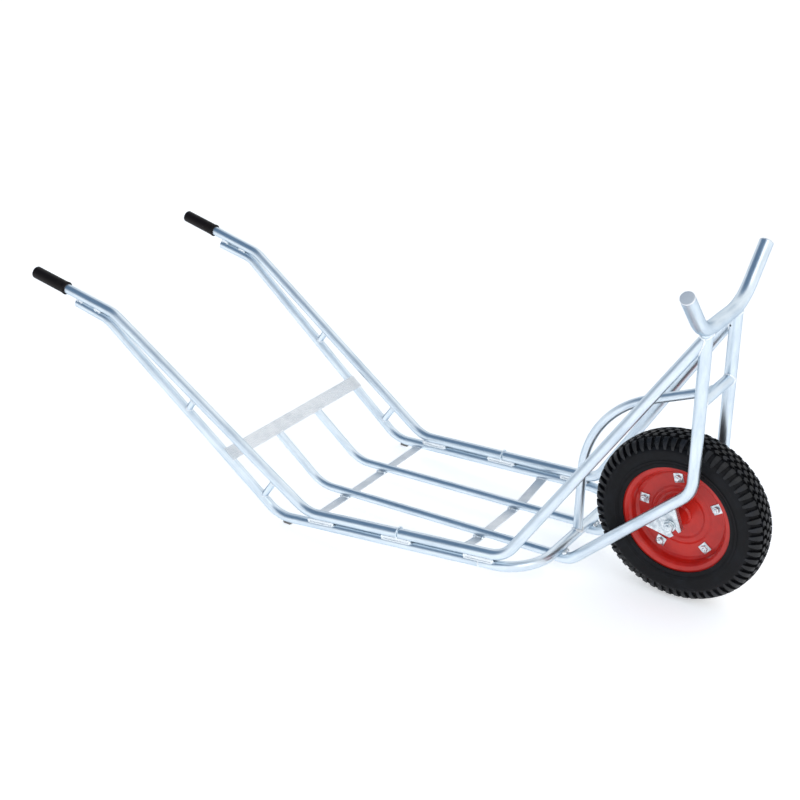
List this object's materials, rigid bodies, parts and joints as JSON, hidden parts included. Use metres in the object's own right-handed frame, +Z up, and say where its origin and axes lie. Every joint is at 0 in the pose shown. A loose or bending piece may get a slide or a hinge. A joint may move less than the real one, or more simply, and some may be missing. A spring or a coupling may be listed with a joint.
{
  "type": "game cart",
  "caption": "Single-wheel hand cart with a welded tube frame, low slatted bed, long handles, a fork with an upright cradle and a pneumatic wheel on a fixed axle.",
  "frame": {"origin": "centre of the overall box, on the floor", "axes": "+X forward towards the wheel, +Y to the cart's left hand side, +Z up"},
  "size_m": [1.738, 0.543, 0.7162],
  "materials": {
    "tube_aluminium": "bright drawn tube",
    "flat_aluminium": "mill finish flat bar",
    "zinc": "bright zinc plate",
    "bearing_steel": "ground steel",
    "rim_paint": "gloss red powder coat",
    "tyre_rubber": "moulded rubber",
    "tube_rubber": "smooth rubber",
    "skid_rubber": "matt rubber",
    "grip_vinyl": "soft dipped vinyl"
  },
  "bodies": {
    "frame": {"fork_leg_left": "tube_aluminium", "fork_leg_right": "tube_aluminium", "cradle_cap_left": "tube_aluminium", "cradle_cap_right": "tube_aluminium", "upper_rail_left": "tube_aluminium", "upper_rail_right": "tube_aluminium", "lower_rail_left": "tube_aluminium", "lower_rail_right": "tube_aluminium", "middle_bar_left": "tube_aluminium", "middle_bar_right": "tube_aluminium", "slope_spacer_upper_left": "tube_aluminium", "slope_spacer_upper_right": "tube_aluminium", "slope_spacer_lower_left": "tube_aluminium", "slope_spacer_lower_right": "tube_aluminium", "bed_spacer_1_left": "flat_aluminium", "bed_spacer_1_right": "flat_aluminium", "bed_spacer_2_left": "flat_aluminium", "bed_spacer_2_right": "flat_aluminium", "bed_spacer_3_left": "flat_aluminium", "bed_spacer_3_right": "flat_aluminium", "handle_lug_rear_left": "flat_aluminium", "handle_lug_rear_right": "flat_aluminium", "handle_lug_front_left": "flat_aluminium", "handle_lug_front_right": "flat_aluminium", "rope_hook_left": "tube_aluminium", "rope_hook_right": "tube_aluminium", "skid_pad_left": "skid_rubber", "skid_pad_right": "skid_rubber", "grip_left": "grip_vinyl", "grip_right": "grip_vinyl", "axle_bracket_left": "zinc", "axle_bracket_right": "zinc", "axle_nut_left": "zinc", "axle_nut_right": "zinc", "cradle_tube": "tube_aluminium", "fork_cross_tube": "tube_aluminium", "front_loop_tube": "tube_aluminium", "cross_plate": "flat_aluminium", "cross_strip_rear": "flat_aluminium", "cross_strip_front": "flat_aluminium", "arch_tube": "tube_aluminium", "axle": "zinc"},
    "wheel": {"tyre": "tyre_rubber", "inner_tube": "tube_rubber", "valve_cap": "grip_vinyl", "rim_half_left": "rim_paint", "rim_half_right": "rim_paint", "rim_bolt_1": "zinc", "rim_bolt_2": "zinc", "rim_bolt_3": "zinc", "rim_bolt_4": "zinc", "rim_bolt_5": "zinc", "rim_nut_1": "zinc", "rim_nut_2": "zinc", "rim_nut_3": "zinc", "rim_nut_4": "zinc", "rim_nut_5": "zinc", "hub_shell": "rim_paint", "bearing_left": "bearing_steel", "bearing_right": "bearing_steel"}
  },
  "joints": [
    {"name": "wheel_spin", "type": "hinge", "parent": "frame", "child": "wheel", "pos_m": [0.68837, 0, 0.181], "axis": [0, 1, 0], "continuous": true}
  ]
}
